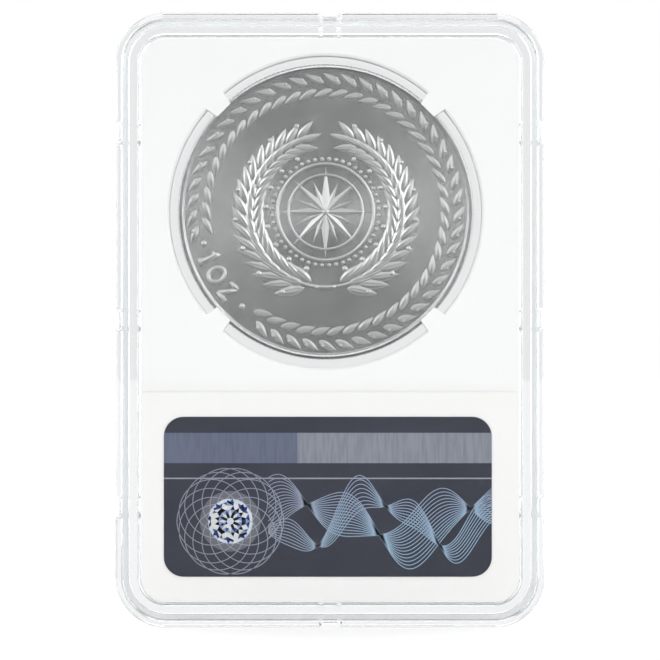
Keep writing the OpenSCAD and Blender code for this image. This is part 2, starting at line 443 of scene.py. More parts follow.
def studio_floor(colour):
    """A pale floor that keeps soft shadows and fades into the white surroundings.

    Mirrored rays pass it and see the room, so that no table edge shows in the windows.
    """
    material, tree = new_material("pale_floor")
    place = object_place(tree)
    mottle = noise(tree, place, 9.0)
    tone = blend_colours(tree, mottle, [c * 0.99 for c in colour], colour)
    matt = principled(tree, Base_Color=tone, Roughness=0.9, Specular_IOR_Level=0.0)
    light = make(tree, "ShaderNodeEmission", None, {"Color": (1.0, 1.0, 1.0), "Strength": 1.08})
    across, along, _ = axes(tree, place)
    far = (across * across + along * along).math("SQRT").ramp(0.12, 0.4)
    path = make(tree, "ShaderNodeLightPath", output="Is Camera Ray")
    seen = path.math("MAXIMUM", path.output("Is Glossy Ray"))
    seen = seen.math("MAXIMUM", path.output("Is Transmission Ray"))
    floor = make(tree, "ShaderNodeMixShader", None, {0: seen * (far * 0.5 + 0.5), 1: matt, 2: light})
    mirrored = path.output("Glossy Depth").math("GREATER_THAN", 0.5)
    room = make(tree, "ShaderNodeBsdfTransparent", None, {"Color": (1.0, 1.0, 1.0)})
    finish_material(tree, make(tree, "ShaderNodeMixShader", None, {0: mirrored, 1: floor, 2: room}))
    return material


# ---------------------------------------------------------------- meshes


def standing(side, x=0.0, y=0.0, z=0.0):
    """Stands a shape drawn lying flat: its X to the right as that side is seen, its Z outwards."""
    if side == REAR:
        turned = Matrix(((1, 0, 0), (0, 0, -1), (0, 1, 0)))
    else:
        turned = Matrix(((-1, 0, 0), (0, 0, 1), (0, 1, 0)))
    return Matrix.Translation((x, y, z)) @ turned.to_4x4()


def mesh_object(name, mesh):
    """Links a mesh to the scene as an object at the origin."""
    thing = bpy.data.objects.new(name, mesh)
    bpy.context.scene.collection.objects.link(thing)
    return thing


def close_mesh(name, grown, smooth=True):
    """Turns a bmesh into a clean mesh: doubles merged, holes filled and normals outwards."""
    bmesh.ops.remove_doubles(grown, verts=grown.verts, dist=0.0000004)
    bmesh.ops.dissolve_degenerate(grown, edges=grown.edges, dist=0.0000004)
    rims = [edge for edge in grown.edges if edge.is_boundary]
    if rims:
        bmesh.ops.holes_fill(grown, edges=rims, sides=0)
    bmesh.ops.recalc_face_normals(grown, faces=grown.faces)
    mesh = bpy.data.meshes.new(name)
    grown.to_mesh(mesh)
    grown.free()
    mesh.polygons.foreach_set("use_smooth", [smooth] * len(mesh.polygons))
    return mesh


def grid_mesh(name, rows, round_rows=False, round_columns=False, smooth=True):
    """A closed mesh over rows of points; open ends are filled."""
    grown = bmesh.new()
    made = [[grown.verts.new(point) for point in row] for row in rows]
    tall, wide = len(made), len(made[0])
    for i in range(tall if round_rows else tall - 1):
        for j in range(wide if round_columns else wide - 1):
            here, there = made[i], made[(i + 1) % tall]
            grown.faces.new((here[j], here[(j + 1) % wide], there[(j + 1) % wide], there[j]))
    return close_mesh(name, grown, smooth)


def plain_copy(thing):
    """Applies an object's modifiers, so that it holds a plain mesh."""
    graph = bpy.context.evaluated_depsgraph_get()
    mesh = bpy.data.meshes.new_from_object(thing.evaluated_get(graph))
    thing.modifiers.clear()
    thing.data = mesh
    return thing


def join(name, things, material):
    """Joins objects into one of a single material, which lies at the origin."""
    grown = bmesh.new()
    for thing in things:
        grown.from_mesh(thing.data)
    for face in grown.faces:
        face.material_index = 0
    mesh = bpy.data.meshes.new(name)
    grown.to_mesh(mesh)
    grown.free()
    mesh.materials.append(material)
    for thing in things:
        bpy.data.objects.remove(thing)
    return mesh_object(name, mesh)


def hand_over(thing, slot, *nodes):
    """Gives a finished piece to the frame."""
    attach(thing, BODY)
    if nodes:
        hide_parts(*nodes)


def dress(node, material):
    """Gives a CAD node its material."""
    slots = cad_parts[node].data.materials
    slots.clear()
    slots.append(material)


def filleted(points, steps=5):
    """An outline from (u, v, radius) corners, each rounded with an arc."""
    line = []
    for i, (u, v, radius) in enumerate(points):
        here = Vector((u, v))
        if radius == 0 or i in (0, len(points) - 1):
            line.append(here)
            continue
        back = (Vector(points[i - 1][:2]) - here).normalized()
        on = (Vector(points[i + 1][:2]) - here).normalized()
        half = back.angle(on) / 2
        middle = here + (back + on).normalized() * (radius / math.sin(half))
        first = here + back * (radius / math.tan(half)) - middle
        last = here + on * (radius / math.tan(half)) - middle
        sweep = first.angle_signed(last)
        for step in range(steps + 1):
            bend = Matrix.Rotation(-sweep * step / steps, 2)
            line.append(middle + bend @ first)
    return line


# ---------------------------------------------------------------- case


def case_stations(case, corner_steps=14):
    """Stations round the outline: a point on it, the way inwards and the notch's depth there."""
    low, high = CAD_BOX
    half = Vector(((high.x - low.x) / 2, (high.z - low.z) / 2))
    centre = Vector((0.0, (high.z + low.z) / 2))
    ramp = [(0.5, 0.0), (0.42, 0.15), (0.36, 0.55), (0.3, 0.9), (0.24, 1.0)]
    ramp = [(along * case.notch_width, deep * case.notch_depth) for along, deep in ramp]
    notch = [(-along, deep) for along, deep in ramp] + [(along, deep) for along, deep in ramp[::-1]]
    stations = []
    for side in range(4):
        rotation = Matrix.Rotation(math.radians(90 * side), 2)
        reach, run = (half.x, half.y) if side % 2 == 0 else (half.y, half.x)
        middles = (-case.notch_pitch, 0.0, case.notch_pitch) if side % 2 == 0 else (0.0,)
        for middle in middles:
            for along, deep in notch:
                place = centre + rotation @ Vector((reach, middle + along))
                stations.append((place, rotation @ Vector((-1, 0)), deep))
        turn_centre = Vector((reach - case.corner, run - case.corner))
        for step in range(corner_steps + 1):
            angle = math.radians(90) * step / corner_steps
            way = Vector((math.cos(angle), math.sin(angle)))
            place = centre + rotation @ (turn_centre + way * case.corner)
            stations.append((place, rotation @ -way, 0.0))
    return stations


def shell_piece(name, case, side, corners, material):
    """Sweeps a shell's section round the case and closes it with its window."""
    line = filleted(corners)
    rows = []
    for place, inwards, deep in case_stations(case):
        row = []
        for u, v in line:
            spot = place + inwards * max(u, deep)
            row.append((spot.x, side * v, spot.y))
        rows.append(row)
    thing = mesh_object(name, grid_mesh(name, rows, round_rows=True))
    thing.data.materials.append(material)
    even = thing.modifiers.new("even_normals", "WEIGHTED_NORMAL")
    even.weight = 100
    return plain_copy(thing)


def shell_levels(case):
    """Depths of the windows and rims, outward from the parting plane."""
    top = CAD_BOX[1].y
    outside = top - case.rim
    return top, outside, outside - case.window


def rear_corners(case):
    top, outside, inside = shell_levels(case)
    ledge = outside - case.land - 0.00005
    ridge_end = case.ledge + case.ridge
    tongue_end = case.tongue_inset + case.tongue_width
    tip = 0.0008 - case.hairline
    gap, round_edge, tight = case.hairline, case.fillet, case.fillet * 0.4
    far = ridge_end + case.slope * 2.2
    return [(far, outside, 0), (ridge_end + case.slope, outside, tight), (ridge_end, top, round_edge),
            (case.ledge, top, round_edge), (case.ledge, ledge, tight), (0, ledge, round_edge),
            (0, gap, tight), (case.tongue_inset, gap, tight), (case.tongue_inset, -tip, tight),
            (tongue_end, -tip, tight), (tongue_end, gap, tight), (case.wall, gap, tight),
            (case.wall, inside, tight), (far, inside, 0)]


def front_corners(case):
    top, outside, inside = shell_levels(case)
    land = outside - case.land
    land_end = case.ledge + case.ridge + case.slope
    groove = case.tongue_inset - case.tongue_gap
    groove_end = case.tongue_inset + case.tongue_width + case.tongue_gap
    depth = 0.00095 + case.hairline
    gap, round_edge, tight = case.hairline, case.fillet, case.fillet * 0.4
    far = land_end + case.slope * 1.2
    return [(far, outside, 0), (land_end + case.land, outside, 0), (land_end, land, 0),
            (case.lip, land, tight), (case.lip, top, round_edge), (0, top, round_edge),
            (0, gap, tight), (groove, gap, tight), (groove, depth, tight),
            (groove_end, depth, tight), (groove_end, gap, tight), (case.wall, gap, tight),
            (case.wall, inside, tight), (far, inside, 0)]


def core_piece(case, material):
    """The core with its edges softened as a mould leaves them."""
    grown = bmesh.new()
    grown.from_mesh(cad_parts["core"].data)
    bmesh.ops.remove_doubles(grown, verts=grown.verts, dist=0.000001)
    bmesh.ops.dissolve_limit(grown, angle_limit=math.radians(1), verts=grown.verts, edges=grown.edges)
    thing = mesh_object("core_moulding", close_mesh("core_moulding", grown))
    thing.data.materials.append(material)
    soften = thing.modifiers.new("soft_edges", "BEVEL")
    soften.width = case.core_edge
    soften.segments = 3
    soften.limit_method = "ANGLE"
    soften.angle_limit = math.radians(35)
    even = thing.modifiers.new("even_normals", "WEIGHTED_NORMAL")
    even.weight = 100
    return plain_copy(thing)


# ---------------------------------------------------------------- copies round an arc


ARC_INPUTS = (("Count", "INT"), ("Radius", "FLOAT"), ("Start", "FLOAT"), ("Sweep", "FLOAT"),
              ("Splay", "FLOAT"), ("Stagger", "FLOAT"), ("Taper", "FLOAT"), ("Turn", "FLOAT"))


def arc_tree():
    """Copies the piece along an arc, the odd ones to one side and the even ones to the other."""
    tree = bpy.data.node_groups.new("copies_round_an_arc", "GeometryNodeTree")
    tree.interface.new_socket("Piece", in_out="INPUT", socket_type="NodeSocketGeometry")
    for name, kind in ARC_INPUTS:
        tree.interface.new_socket(name, in_out="INPUT", socket_type="NodeSocket" + kind.title())
    tree.interface.new_socket("Material", in_out="INPUT", socket_type="NodeSocketMaterial")
    tree.interface.new_socket("Copies", in_out="OUTPUT", socket_type="NodeSocketGeometry")
    given = make(tree, "NodeGroupInput")
    count, radius, start, sweep, splay, stagger, taper, turned = (
        given.output(name) for name, _ in ARC_INPUTS)
    index = make(tree, "GeometryNodeInputIndex")
    along = (index + 0.5) / count
    angle = start + sweep * along
    side = index.math("MODULO", 2.0) * 2.0 - 1.0
    reach = radius + side * stagger
    spot = make(tree, "ShaderNodeCombineXYZ", None,
                {0: reach * angle.math("COSINE"), 1: reach * angle.math("SINE")})
    points = make(tree, "GeometryNodePoints", None, {"Count": count, "Position": spot})
    way = angle + turned + side * splay
    rotation = make(tree, "ShaderNodeCombineXYZ", None, {2: way})
    size = 1.0 - taper * along
    copies = make(tree, "GeometryNodeInstanceOnPoints", None,
                  {"Points": points, "Instance": given.output("Piece"), "Rotation": rotation,
                   "Scale": make(tree, "ShaderNodeCombineXYZ", None, {0: size, 1: size, 2: size})})
    real = make(tree, "GeometryNodeRealizeInstances", None, {0: copies})
    painted = make(tree, "GeometryNodeSetMaterial", None,
                   {"Geometry": real, "Material": given.output("Material")})
    make(tree, "NodeGroupOutput", None, {0: painted})
    return tree


def run_tree(thing, tree, values):
    """Applies a node tree to an object, its inputs given by name, and leaves a plain mesh."""
    modifier = thing.modifiers.new("nodes", "NODES")
    modifier.node_group = tree
    for item in tree.interface.items_tree:
        if item.in_out == "INPUT" and item.name in values:
            modifier[item.identifier] = values[item.name]
    return plain_copy(thing)


def round_arc(mesh, tree, material, place, count, radius, start=0.0, sweep=360.0, turned=0.0,
              splay=0.0, stagger=0.0, taper=0.0):
    """Copies a small mesh round an arc, angles in degrees, and stands the result in its place."""
    values = {"Count": count, "Radius": radius, "Start": math.radians(start),
              "Sweep": math.radians(sweep), "Turn": math.radians(turned),
              "Splay": math.radians(splay), "Stagger": stagger, "Taper": taper,
              "Material": material}
    thing = run_tree(mesh_object(mesh.name, mesh.copy()), tree, values)
    thing.data.transform(place)
    return thing


# ---------------------------------------------------------------- coin


def leaf_mesh(long, wide, high, steps=9):
    """A domed leaf with a midrib, its stalk end at the origin and its tip along X."""
    rows = []
    for i in range(steps + 1):
        t = i / steps
        half = wide / 2 * math.sin(math.pi * t ** 0.75) ** 0.85 if 0 < i < steps else 0.0
        row = [(long * t, -half, -0.00006)]
        for j in range(-4, 5):
            s = j / 4
            dome = (1 - abs(s) ** 1.7) * (0.35 + 0.65 * math.sin(math.pi * min(t + 0.08, 1.0)))
            rib = 0.45 if j == 0 else 0.0
            row.append((long * t, half * s * 0.96, high * dome * (1 - rib)))
        row.append((long * t, half, -0.00006))
        rows.append(row)
    return grid_mesh("leaf", rows, round_columns=True)


def bead_mesh(radius, high):
    """A low dome that is sunk a little in its ground."""
    rows = [[(0, 0, high)] * 12]
    for i in range(1, 5):
        angle = math.radians(90) * i / 4
        rows.append([(radius * math.sin(angle) * math.cos(math.tau * j / 12),
                      radius * math.sin(angle) * math.sin(math.tau * j / 12),
                      high * math.cos(angle)) for j in range(12)])
    rows.append([(x, y, -0.00006) for x, y, _ in rows[-1]])
    return grid_mesh("bead", rows, round_columns=True)


def ray_mesh(inner, outer, half, high):
    """A tapering ray with a sharp ridge along its top."""
    grown = bmesh.new()
    ridge = [grown.verts.new((inner, 0, high)), grown.verts.new((outer, 0, high * 0.15))]
    left = [grown.verts.new((inner, half, -0.00006)), grown.verts.new((outer, 0.00002, -0.00006))]
    right = [grown.verts.new((inner, -half, -0.00006)), grown.verts.new((outer, -0.00002, -0.00006))]
    grown.faces.new((ridge[0], ridge[1], left[1], left[0]))
    grown.faces.new((ridge[1], ridge[0], right[0], right[1]))
    grown.faces.new((left[0], left[1], right[1], right[0]))
    return close_mesh("ray", grown, smooth=False)


def reed_mesh(long, wide, deep):
    """One rounded reed, its back to the coin's edge and its top along X."""
    rows = []
    for end in (-0.5, 0.5):
        arc = [(deep * math.sin(math.pi * j / 6) - 0.00002, wide * (j / 6 - 0.5), long * end)
               for j in range(7)]
        rows.append([(-0.00005, wide / 2, long * end), (-0.00005, -wide / 2, long * end), *arc])
    return grid_mesh("reed", rows, round_columns=True)


def turned_mesh(name, line, segments=256):
    """A mesh turned from (radius, height) points round the Z axis."""
    rows = []
    for r, h in line:
        rows.append([(r * math.cos(math.tau * j / segments), r * math.sin(math.tau * j / segments), h)
                     for j in range(segments)])
    return grid_mesh(name, rows, round_columns=True)


def ring_mesh(name, radius, wide, high):
    """A raised ring with a rounded top."""
    line = [(radius - wide / 2, -0.00006)]
    for i in range(9):
        angle = math.pi * i / 8
        line.append((radius - wide / 2 * math.cos(angle), high * math.sin(angle)))
    line.append((radius + wide / 2, -0.00006))
    segments = 160
    rows = [[(r * math.cos(math.tau * j / segments), r * math.sin(math.tau * j / segments), h)
             for r, h in line] for j in range(segments)]
    return grid_mesh(name, rows, round_rows=True, round_columns=True)


def stem_mesh(radius, start, sweep, thick, steps=48):
    """A tapering stalk along an arc, half sunk in its ground."""
    rows = []
    for i in range(steps + 1):
        t = i / steps
        angle = math.radians(start + sweep * t)
        width = thick * (1 - 0.6 * t)
        row = []
        for j in range(8):
            a = math.tau * j / 8
            r = radius + width * math.cos(a)
            row.append((r * math.cos(angle), r * math.sin(angle), width * 0.8 * math.sin(a)))
        rows.append(row)
    return grid_mesh("stem", rows, round_columns=True)


def coin_blank(coin, material):
    """The coin's body: two fields, two rims and the edge behind the reeds."""
    edge = (COIN_HIGH.x - COIN_LOW.x) / 2 - coin.reed
    half = COIN_HIGH.y
    field = half - coin.drop
    inner = edge + coin.reed - coin.rim
    dished = [Vector((inner * i / 16, field - coin.dish * (1 - (i / 16) ** 2))) for i in range(15)]
    rim = filleted([(*dished[-1], 0), (inner, field, 0.00015), (inner + 0.00012, half - 0.00005, 0.0001),
                    ((inner + edge) / 2, half, 0.0002), (edge, half - 0.00004, 0.00012), (edge, 0, 0)], 4)
    line = dished + rim[1:]
    line += [Vector((p.x, -p.y)) for p in line[-2::-1]]
    thing = mesh_object("coin_blank", turned_mesh("coin_blank", line, 288))
    thing.data.materials.append(material)
    even = thing.modifiers.new("even_normals", "WEIGHTED_NORMAL")
    even.weight = 100
    plain_copy(thing)
    thing.data.transform(standing(REAR, COIN_MIDDLE.x, 0.0, COIN_MIDDLE.z))
    return thing


def stroke_mesh(points, wide, high):
    """A raised stroke with a rounded top along points of a flat line."""
    line = [Vector(point) for point in points]
    rows = []
    for i, here in enumerate(line):
        back = (here - line[max(i - 1, 0)]).normalized()
        on = (line[min(i + 1, len(line) - 1)] - here).normalized()
        side = (back + on).normalized().orthogonal()
        stretch = 1 / max(0.5, side.dot(on.orthogonal() if on.length else back.orthogonal()))
        row = [(*(here - side * wide / 2 * stretch), -0.00006)]
        for j in range(7):
            across = -math.cos(math.pi * j / 6)
            row.append((*(here + side * across * wide / 2 * stretch), high * (1 - across ** 2)))
        row.append((*(here + side * wide / 2 * stretch), -0.00006))
        rows.append(row)
    return grid_mesh("stroke", rows, round_columns=True)


def mark_strokes(tall):
    """The strokes of 1, O and Z, each about its middle, as shares of the letter's height."""
    one = [[(-0.2, 0.28), (0.0, 0.46), (0.02, 0.0), (0.02, -0.5)], [(-0.17, -0.47), (0.21, -0.47)]]
    ring = [(0.36 * math.cos(math.tau * j / 32), 0.46 * math.sin(math.tau * j / 32)) for j in range(33)]
    zed = [[(-0.3, 0.44), (0.3, 0.44)], [(0.27, 0.42), (-0.27, -0.42)], [(-0.32, -0.44), (0.34, -0.44)]]
    for letter, strokes in (("1", one), ("O", [ring]), ("Z", zed)):
        yield letter, [[(x * tall, y * tall) for x, y in stroke] for stroke in strokes]


def coin_marks(coin, material, place):
    """The weight mark, its letters upright along the coin's lower edge."""
    things = []
    for (_, strokes), angle in zip(mark_strokes(coin.letter), coin_mark_angles()):
        way = Matrix.Rotation(math.radians(angle), 4, "Z")
        stand = way @ Matrix.Translation((coin.border, 0, 0)) @ Matrix.Rotation(math.radians(90), 4, "Z")
        meshes = [stroke_mesh(stroke, coin.letter * 0.25, coin.relief * 1.1) for stroke in strokes]
        things += plain_things(material, place @ stand, *meshes)
    return things


def coin_mark_angles():
    return 201.5, 210.0, 219.0


def dish_relief(thing, coin, side):
    """Lowers a design with the field that it stands on."""
    reach = (COIN_HIGH.x - COIN_LOW.x) / 2 - coin.rim
    for vertex in thing.data.vertices:
        off = Vector((vertex.co.x - COIN_MIDDLE.x, vertex.co.z - COIN_MIDDLE.z))
        vertex.co.y -= side * coin.dish * max(0.0, 1 - off.length_squared / reach ** 2)
    return thing


def plain_things(material, place, *meshes):
    """Small meshes stood in their place as objects."""
    things = []
    for mesh in meshes:
        mesh.transform(place)
        mesh.materials.append(material)
        things.append(mesh_object(mesh.name, mesh))
    return things


def rear_design(coin, tree, material, place):
    """Two laurel branches round a compass rose, inside a leafy border with the weight mark."""
    high = coin.relief
    leaf = leaf_mesh(coin.leaf, coin.leaf * 0.34, high)
    small = leaf_mesh(coin.border_leaf, coin.border_leaf * 0.36, high * 1.05)
    berry = bead_mesh(0.00042, high)
    bead = bead_mesh(0.00028, high)
    kit = (tree, material, place)
    things = []
    for way in (1, -1):
        start, sweep, along = -90 + 9 * way, 152 * way, 90 * way
        things.append(round_arc(leaf, *kit, 34, coin.wreath, start, sweep, along, -27 * way, 0.0005, 0.25))
        things.append(round_arc(leaf, *kit, 17, coin.wreath, start + 4 * way, sweep, along, 0.0, 0.0, 0.3))
        things.append(round_arc(berry, *kit, 16, coin.wreath, start + 5 * way, sweep, 0.0, 0.0, 0.0021, 0.2))
        things += plain_things(material, place, stem_mesh(coin.wreath, -90 - 8 * way, 160 * way, 0.0003))
    things.append(round_arc(ray_mesh(0.0003, 0.0062, 0.00088, high * 1.7), *kit, 8, 0.0, -22.5))
    things.append(round_arc(ray_mesh(0.0003, 0.0045, 0.00066, high * 1.3), *kit, 8, 0.0))
    things.append(round_arc(bead, *kit, 48, 0.0073))
    things += plain_things(material, place, bead_mesh(0.0008, high * 1.8),
                           ring_mesh("ring", 0.0051, 0.0004, high * 0.8),
                           ring_mesh("ring", 0.0066, 0.0005, high))
    things.append(round_arc(small, *kit, 86, coin.border, 232, 316, 90, -26, 0.0004))
    things.append(round_arc(bead, *kit, 43, coin.border + 0.0011, 236, 316))
    things.append(round_arc(berry, *kit, 2, coin.border, 177.5, 68))
    things += coin_marks(coin, material, place)
    return things


def front_design(coin, tree, material, place):
    """A radiant disc inside a leafy border."""
    high = coin.relief
    leaf = leaf_mesh(coin.leaf, coin.leaf * 0.4, high)
    bead = bead_mesh(0.0003, high * 0.8)
    kit = (tree, material, place)
    things = [
        round_arc(ray_mesh(0.0044, 0.0112, 0.00045, high), *kit, 24, 0.0),
        round_arc(ray_mesh(0.0044, 0.0092, 0.0004, high * 0.8), *kit, 24, 0.0, 7.5),
        round_arc(leaf, *kit, 16, 0.0005, 0, 360, 0, 0, 0.0),
        round_arc(leaf, *kit, 72, 0.0152, 0, 360, 90, -26, 0.0005),
        round_arc(bead, *kit, 110, 0.0184),
        round_arc(bead, *kit, 72, 0.0122),
    ]
    things += plain_things(material, place, bead_mesh(0.0008, high * 1.3),
                           ring_mesh("ring", 0.0043, 0.0004, high * 0.8),
                           ring_mesh("ring", 0.0128, 0.0003, high * 0.6))
    return things


# ---------------------------------------------------------------- sticker


LINE_INPUTS = ("Long", "Lines", "Spread", "Wave", "Swing", "Phase", "Pinch", "Width")


def ribbon_tree():
    """A bundle of fine lines that swing together and cross where the bundle pinches."""
    tree = bpy.data.node_groups.new("bundle_of_lines", "GeometryNodeTree")
    tree.interface.new_socket("Piece", in_out="INPUT", socket_type="NodeSocketGeometry")
    for name in LINE_INPUTS:
        kind = "NodeSocketInt" if name == "Lines" else "NodeSocketFloat"
        tree.interface.new_socket(name, in_out="INPUT", socket_type=kind)
    tree.interface.new_socket("Material", in_out="INPUT", socket_type="NodeSocketMaterial")
    tree.interface.new_socket("Bundle", in_out="OUTPUT", socket_type="NodeSocketGeometry")
    given = make(tree, "NodeGroupInput")
    long, lines, spread, wave, swing, phase, pinch, width = (given.output(n) for n in LINE_INPUTS)
    end = make(tree, "ShaderNodeCombineXYZ", None, {0: long})
    line = make(tree, "GeometryNodeCurvePrimitiveLine", None, {"Start": (0, 0, 0), "End": end})
    line = make(tree, "GeometryNodeResampleCurve", None, {"Curve": line, "Count": 150})
    copies = make(tree, "GeometryNodeDuplicateElements", {"domain": "SPLINE"},
                  {"Geometry": line, "Amount": lines})
    order = copies.output("Duplicate Index") / (lines - 1.0) - 0.5
    place = make(tree, "GeometryNodeInputPosition")
    x = make(tree, "ShaderNodeSeparateXYZ", None, {0: place}, "X")
    along = x / long
    middle = swing * (along * wave + phase).math("SINE")
    second = swing * 0.35 * (along * wave * 2.3 + phase * 1.7).math("SINE")
    lie = order * spread * ((along * pinch + phase * 0.6).math("COSINE") * 0.85 + 0.15)
    spot = make(tree, "ShaderNodeCombineXYZ", None, {0: x, 1: middle + second + lie})
    bent = make(tree, "GeometryNodeSetPosition", None, {"Geometry": copies, "Position": spot})
    half = make(tree, "ShaderNodeCombineXYZ", None, {0: width * 0.5})
    other = make(tree, "ShaderNodeCombineXYZ", None, {0: width * -0.5})
    edge = make(tree, "GeometryNodeCurvePrimitiveLine", None, {"Start": other, "End": half})
    flat = make(tree, "GeometryNodeSetCurveNormal", {"mode": "Z_UP"}, {0: bent})
    strips = make(tree, "GeometryNodeCurveToMesh", None, {"Curve": flat, "Profile Curve": edge})
    painted = make(tree, "GeometryNodeSetMaterial", None,
                   {"Geometry": make(tree, "GeometryNodeRealizeInstances", None, {0: strips}),
                    "Material": given.output("Material")})
    make(tree, "NodeGroupOutput", None, {0: painted})
    return tree


def rosette_tree():
    """Circles of one size whose middles lie round a smaller circle."""
    tree = bpy.data.node_groups.new("rosette_of_circles", "GeometryNodeTree")
    names = ("Circles", "Offset", "Radius", "Width")
    tree.interface.new_socket("Piece", in_out="INPUT", socket_type="NodeSocketGeometry")
    for name in names:
        kind = "NodeSocketInt" if name == "Circles" else "NodeSocketFloat"
        tree.interface.new_socket(name, in_out="INPUT", socket_type=kind)
    tree.interface.new_socket("Material", in_out="INPUT", socket_type="NodeSocketMaterial")
    tree.interface.new_socket("Rosette", in_out="OUTPUT", socket_type="NodeSocketGeometry")
    given = make(tree, "NodeGroupInput")
    circles, offset, radius, width = (given.output(name) for name in names)
    circle = make(tree, "GeometryNodeCurvePrimitiveCircle", {"mode": "RADIUS"},
                  {"Resolution": 72, "Radius": radius})
    copies = make(tree, "GeometryNodeDuplicateElements", {"domain": "SPLINE"},
                  {"Geometry": circle, "Amount": circles})
    angle = copies.output("Duplicate Index") / circles * math.tau
    shift = make(tree, "ShaderNodeCombineXYZ", None,
                 {0: offset * angle.math("COSINE"), 1: offset * angle.math("SINE")})
    moved = make(tree, "GeometryNodeSetPosition", None, {"Geometry": copies, "Offset": shift})
    half = make(tree, "ShaderNodeCombineXYZ", None, {0: width * 0.5})
    other = make(tree, "ShaderNodeCombineXYZ", None, {0: width * -0.5})
    edge = make(tree, "GeometryNodeCurvePrimitiveLine", None, {"Start": other, "End": half})
    flat = make(tree, "GeometryNodeSetCurveNormal", {"mode": "Z_UP"}, {0: moved})
    strips = make(tree, "GeometryNodeCurveToMesh", None, {"Curve": flat, "Profile Curve": edge})
    painted = make(tree, "GeometryNodeSetMaterial", None,
                   {"Geometry": make(tree, "GeometryNodeRealizeInstances", None, {0: strips}),
                    "Material": given.output("Material")})
    make(tree, "NodeGroupOutput", None, {0: painted})
    return tree


def facing_up(mesh):
    """Turns every face of a flat mesh so that it faces along Z."""
    grown = bmesh.new()
    grown.from_mesh(mesh)
    grown.normal_update()
    under = [face for face in grown.faces if face.normal.z < 0]
    bmesh.ops.reverse_faces(grown, faces=under)
    grown.to_mesh(mesh)
    grown.free()


def empty_object(name):
    return mesh_object(name, bpy.data.meshes.new(name))


def lens_mesh(radius, deep):
    """A brilliant-cut disc; each facet keeps its colour in an attribute: a blue foil tint, a near-white
    painted glint or a near-black painted dark reflection.
    """
    draw = random.Random(11)
    # Near-white tones are painted glints and near-black ones are painted dark reflections; the blues are the
    # foil's own tint.
    foil_tints_and_painted_glints = ((0.95, 0.97, 1.0), (0.16, 0.24, 0.5), (0.02, 0.025, 0.04), (0.6, 0.68, 0.85),
             (0.95, 0.95, 0.93), (0.3, 0.4, 0.62), (0.13, 0.14, 0.17), (0.9, 0.93, 1.0))
    rings = [(0.0, 1, 0.0), (0.16, 8, 0.0), (0.33, 16, 0.5), (0.52, 16, 0.0), (0.7, 16, 0.5),
             (0.86, 32, 0.0), (1.0, 32, 0.5)]
    grown = bmesh.new()
    paint = grown.loops.layers.color.new("facet_tint_and_glint")
    rows = []
    for share_out, count, shift in rings:
        row = []
        for j in range(count):
            angle = math.tau * (j + shift) / count
            high = deep * (1.0 - 0.75 * share_out) * (0.75 + 0.25 * (j % 2))
            row.append(grown.verts.new((radius * share_out * math.cos(angle),
                                        radius * share_out * math.sin(angle), high)))
        rows.append(row)
    for inner, outer in zip(rows, rows[1:]):
        stitch(grown, inner, outer)
    for face in grown.faces:
        middle = face.calc_center_median()
        ring = round(middle.to_2d().length / radius * 9)
        fold = math.degrees(math.atan2(middle.y, middle.x)) % 45
        draw.seed(ring * 100 + round(min(fold, 45 - fold) / 4))
        tone = list(draw.choice(foil_tints_and_painted_glints))
        draw.seed(face.index + 7 * len(grown.faces) + round(middle.x * 1e6))
        if draw.random() < 0.25:
            tone = list(draw.choice(foil_tints_and_painted_glints))
        for loop in face.loops:
            loop[paint] = (*tone, 1.0)
    return grown


def stitch(grown, inner, outer):
    """Triangles between two rings of points, whose counts may differ."""
    if len(inner) == 1:
        for j, point in enumerate(outer):
            grown.faces.new((inner[0], point, outer[(j + 1) % len(outer)]))
        return

    def place(point):
        return math.atan2(point.co.y, point.co.x) % math.tau

    i = j = 0
    inner = sorted(inner, key=place)
    outer = sorted(outer, key=place)
    many, few = len(outer), len(inner)
    while i < few or j < many:
        next_in = place(inner[(i + 1) % few]) + math.tau * ((i + 1) // few)
        next_out = place(outer[(j + 1) % many]) + math.tau * ((j + 1) // many)
        here_in, here_out = inner[i % few], outer[j % many]
        if j >= many or (i < few and next_in < next_out):
            grown.faces.new((here_in, here_out, inner[(i + 1) % few]))
            i += 1
        else:
            grown.faces.new((here_in, here_out, outer[(j + 1) % many]))
            j += 1


# ---------------------------------------------------------------- operators


class SLAB_OT_shells(bpy.types.Operator):
    """Makes the two clear shells and dresses the weld bead between them"""

    bl_idname = "slab.shells"
    bl_label = "Clear Shells"

    def execute(self, context):
        case = context.scene.slab_case
        clear = clear_plastic(case.clear)
        for side, name, corners in ((REAR, "rear_shell", rear_corners(case)),
                                    (FRONT, "front_shell", front_corners(case))):
            hand_over(shell_piece(name + "_clear", case, side, corners, clear), "clear_shell", name)
        dress("weld_bead", fused_plastic(case.cloudy))
        return {"FINISHED"}


class SLAB_OT_core(bpy.types.Operator):
    """Makes the white core with its prongs, and dresses the label cards"""

    bl_idname = "slab.core"
    bl_label = "White Core"

    def execute(self, context):
        case = context.scene.slab_case
        hand_over(core_piece(case, moulded_white(case.white)), "white_core", "core")
        card = paper_card(case.card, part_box("rear_card")[1].z)
        dress("rear_card", card)
        dress("front_card", card)
        return {"FINISHED"}


